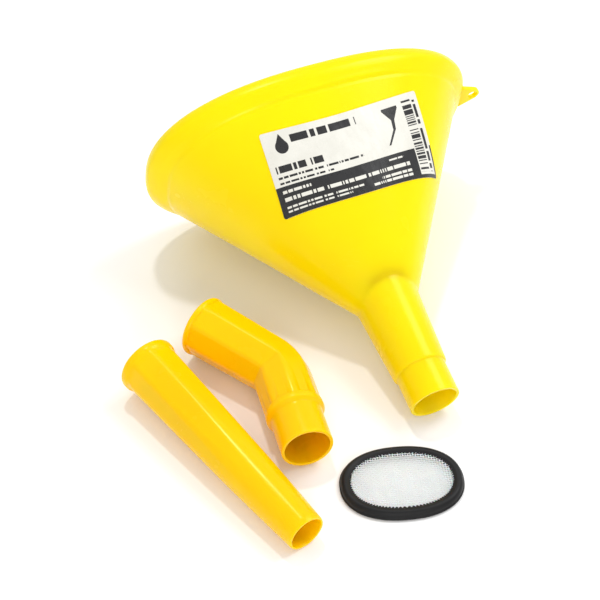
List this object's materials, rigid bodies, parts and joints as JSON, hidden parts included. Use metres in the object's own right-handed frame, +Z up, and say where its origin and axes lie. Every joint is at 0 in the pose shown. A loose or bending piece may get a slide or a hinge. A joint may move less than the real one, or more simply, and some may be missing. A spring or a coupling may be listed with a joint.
{
  "type": "funnel",
  "caption": "Oval plastic hand funnel with a collar and hanging lug, shown taken apart beside its bent extension, straight nozzle and drop-in mesh strainer.",
  "frame": {"origin": "middle of the kit's footprint, on the surface that the pieces lie on", "axes": "+Z up from the surface, +Y from the nozzle's tip towards the funnel's mouth, +X towards the lug"},
  "size_m": [0.1388, 0.2067, 0.0815],
  "materials": {
    "lemon_plastic": "satin moulded polyethylene, slightly translucent lemon yellow",
    "golden_plastic": "satin moulded polyethylene, slightly translucent golden yellow",
    "label_print": "printed film label, off-white with a black band",
    "black_ring": "satin black moulded ring",
    "white_mesh": "white woven nylon monofilament"
  },
  "bodies": {
    "funnel": {"funnel_body": "lemon_plastic", "label": "label_print"},
    "elbow": {"elbow": "golden_plastic"},
    "nozzle": {"nozzle": "golden_plastic"},
    "strainer": {"strainer_ring": "black_ring", "strainer_mesh": "white_mesh"}
  },
  "joints": [
    {"name": "strainer_lift", "type": "slide", "parent": "funnel", "child": "strainer", "axis": [0, 0, 1], "range_m": [0, 0.09]},
    {"name": "elbow_swivel", "type": "hinge", "parent": "funnel", "child": "elbow", "pos_m": [-0.04094, -0.00435, 0.01188], "axis": [-0.7985, 0.6017, 0.0149], "range_deg": [0, 90]},
    {"name": "nozzle_swivel", "type": "hinge", "parent": "funnel", "child": "nozzle", "pos_m": [-0.06064, -0.02355, 0.01159], "axis": [0.6192, -0.7841, -0.0413], "continuous": true}
  ]
}
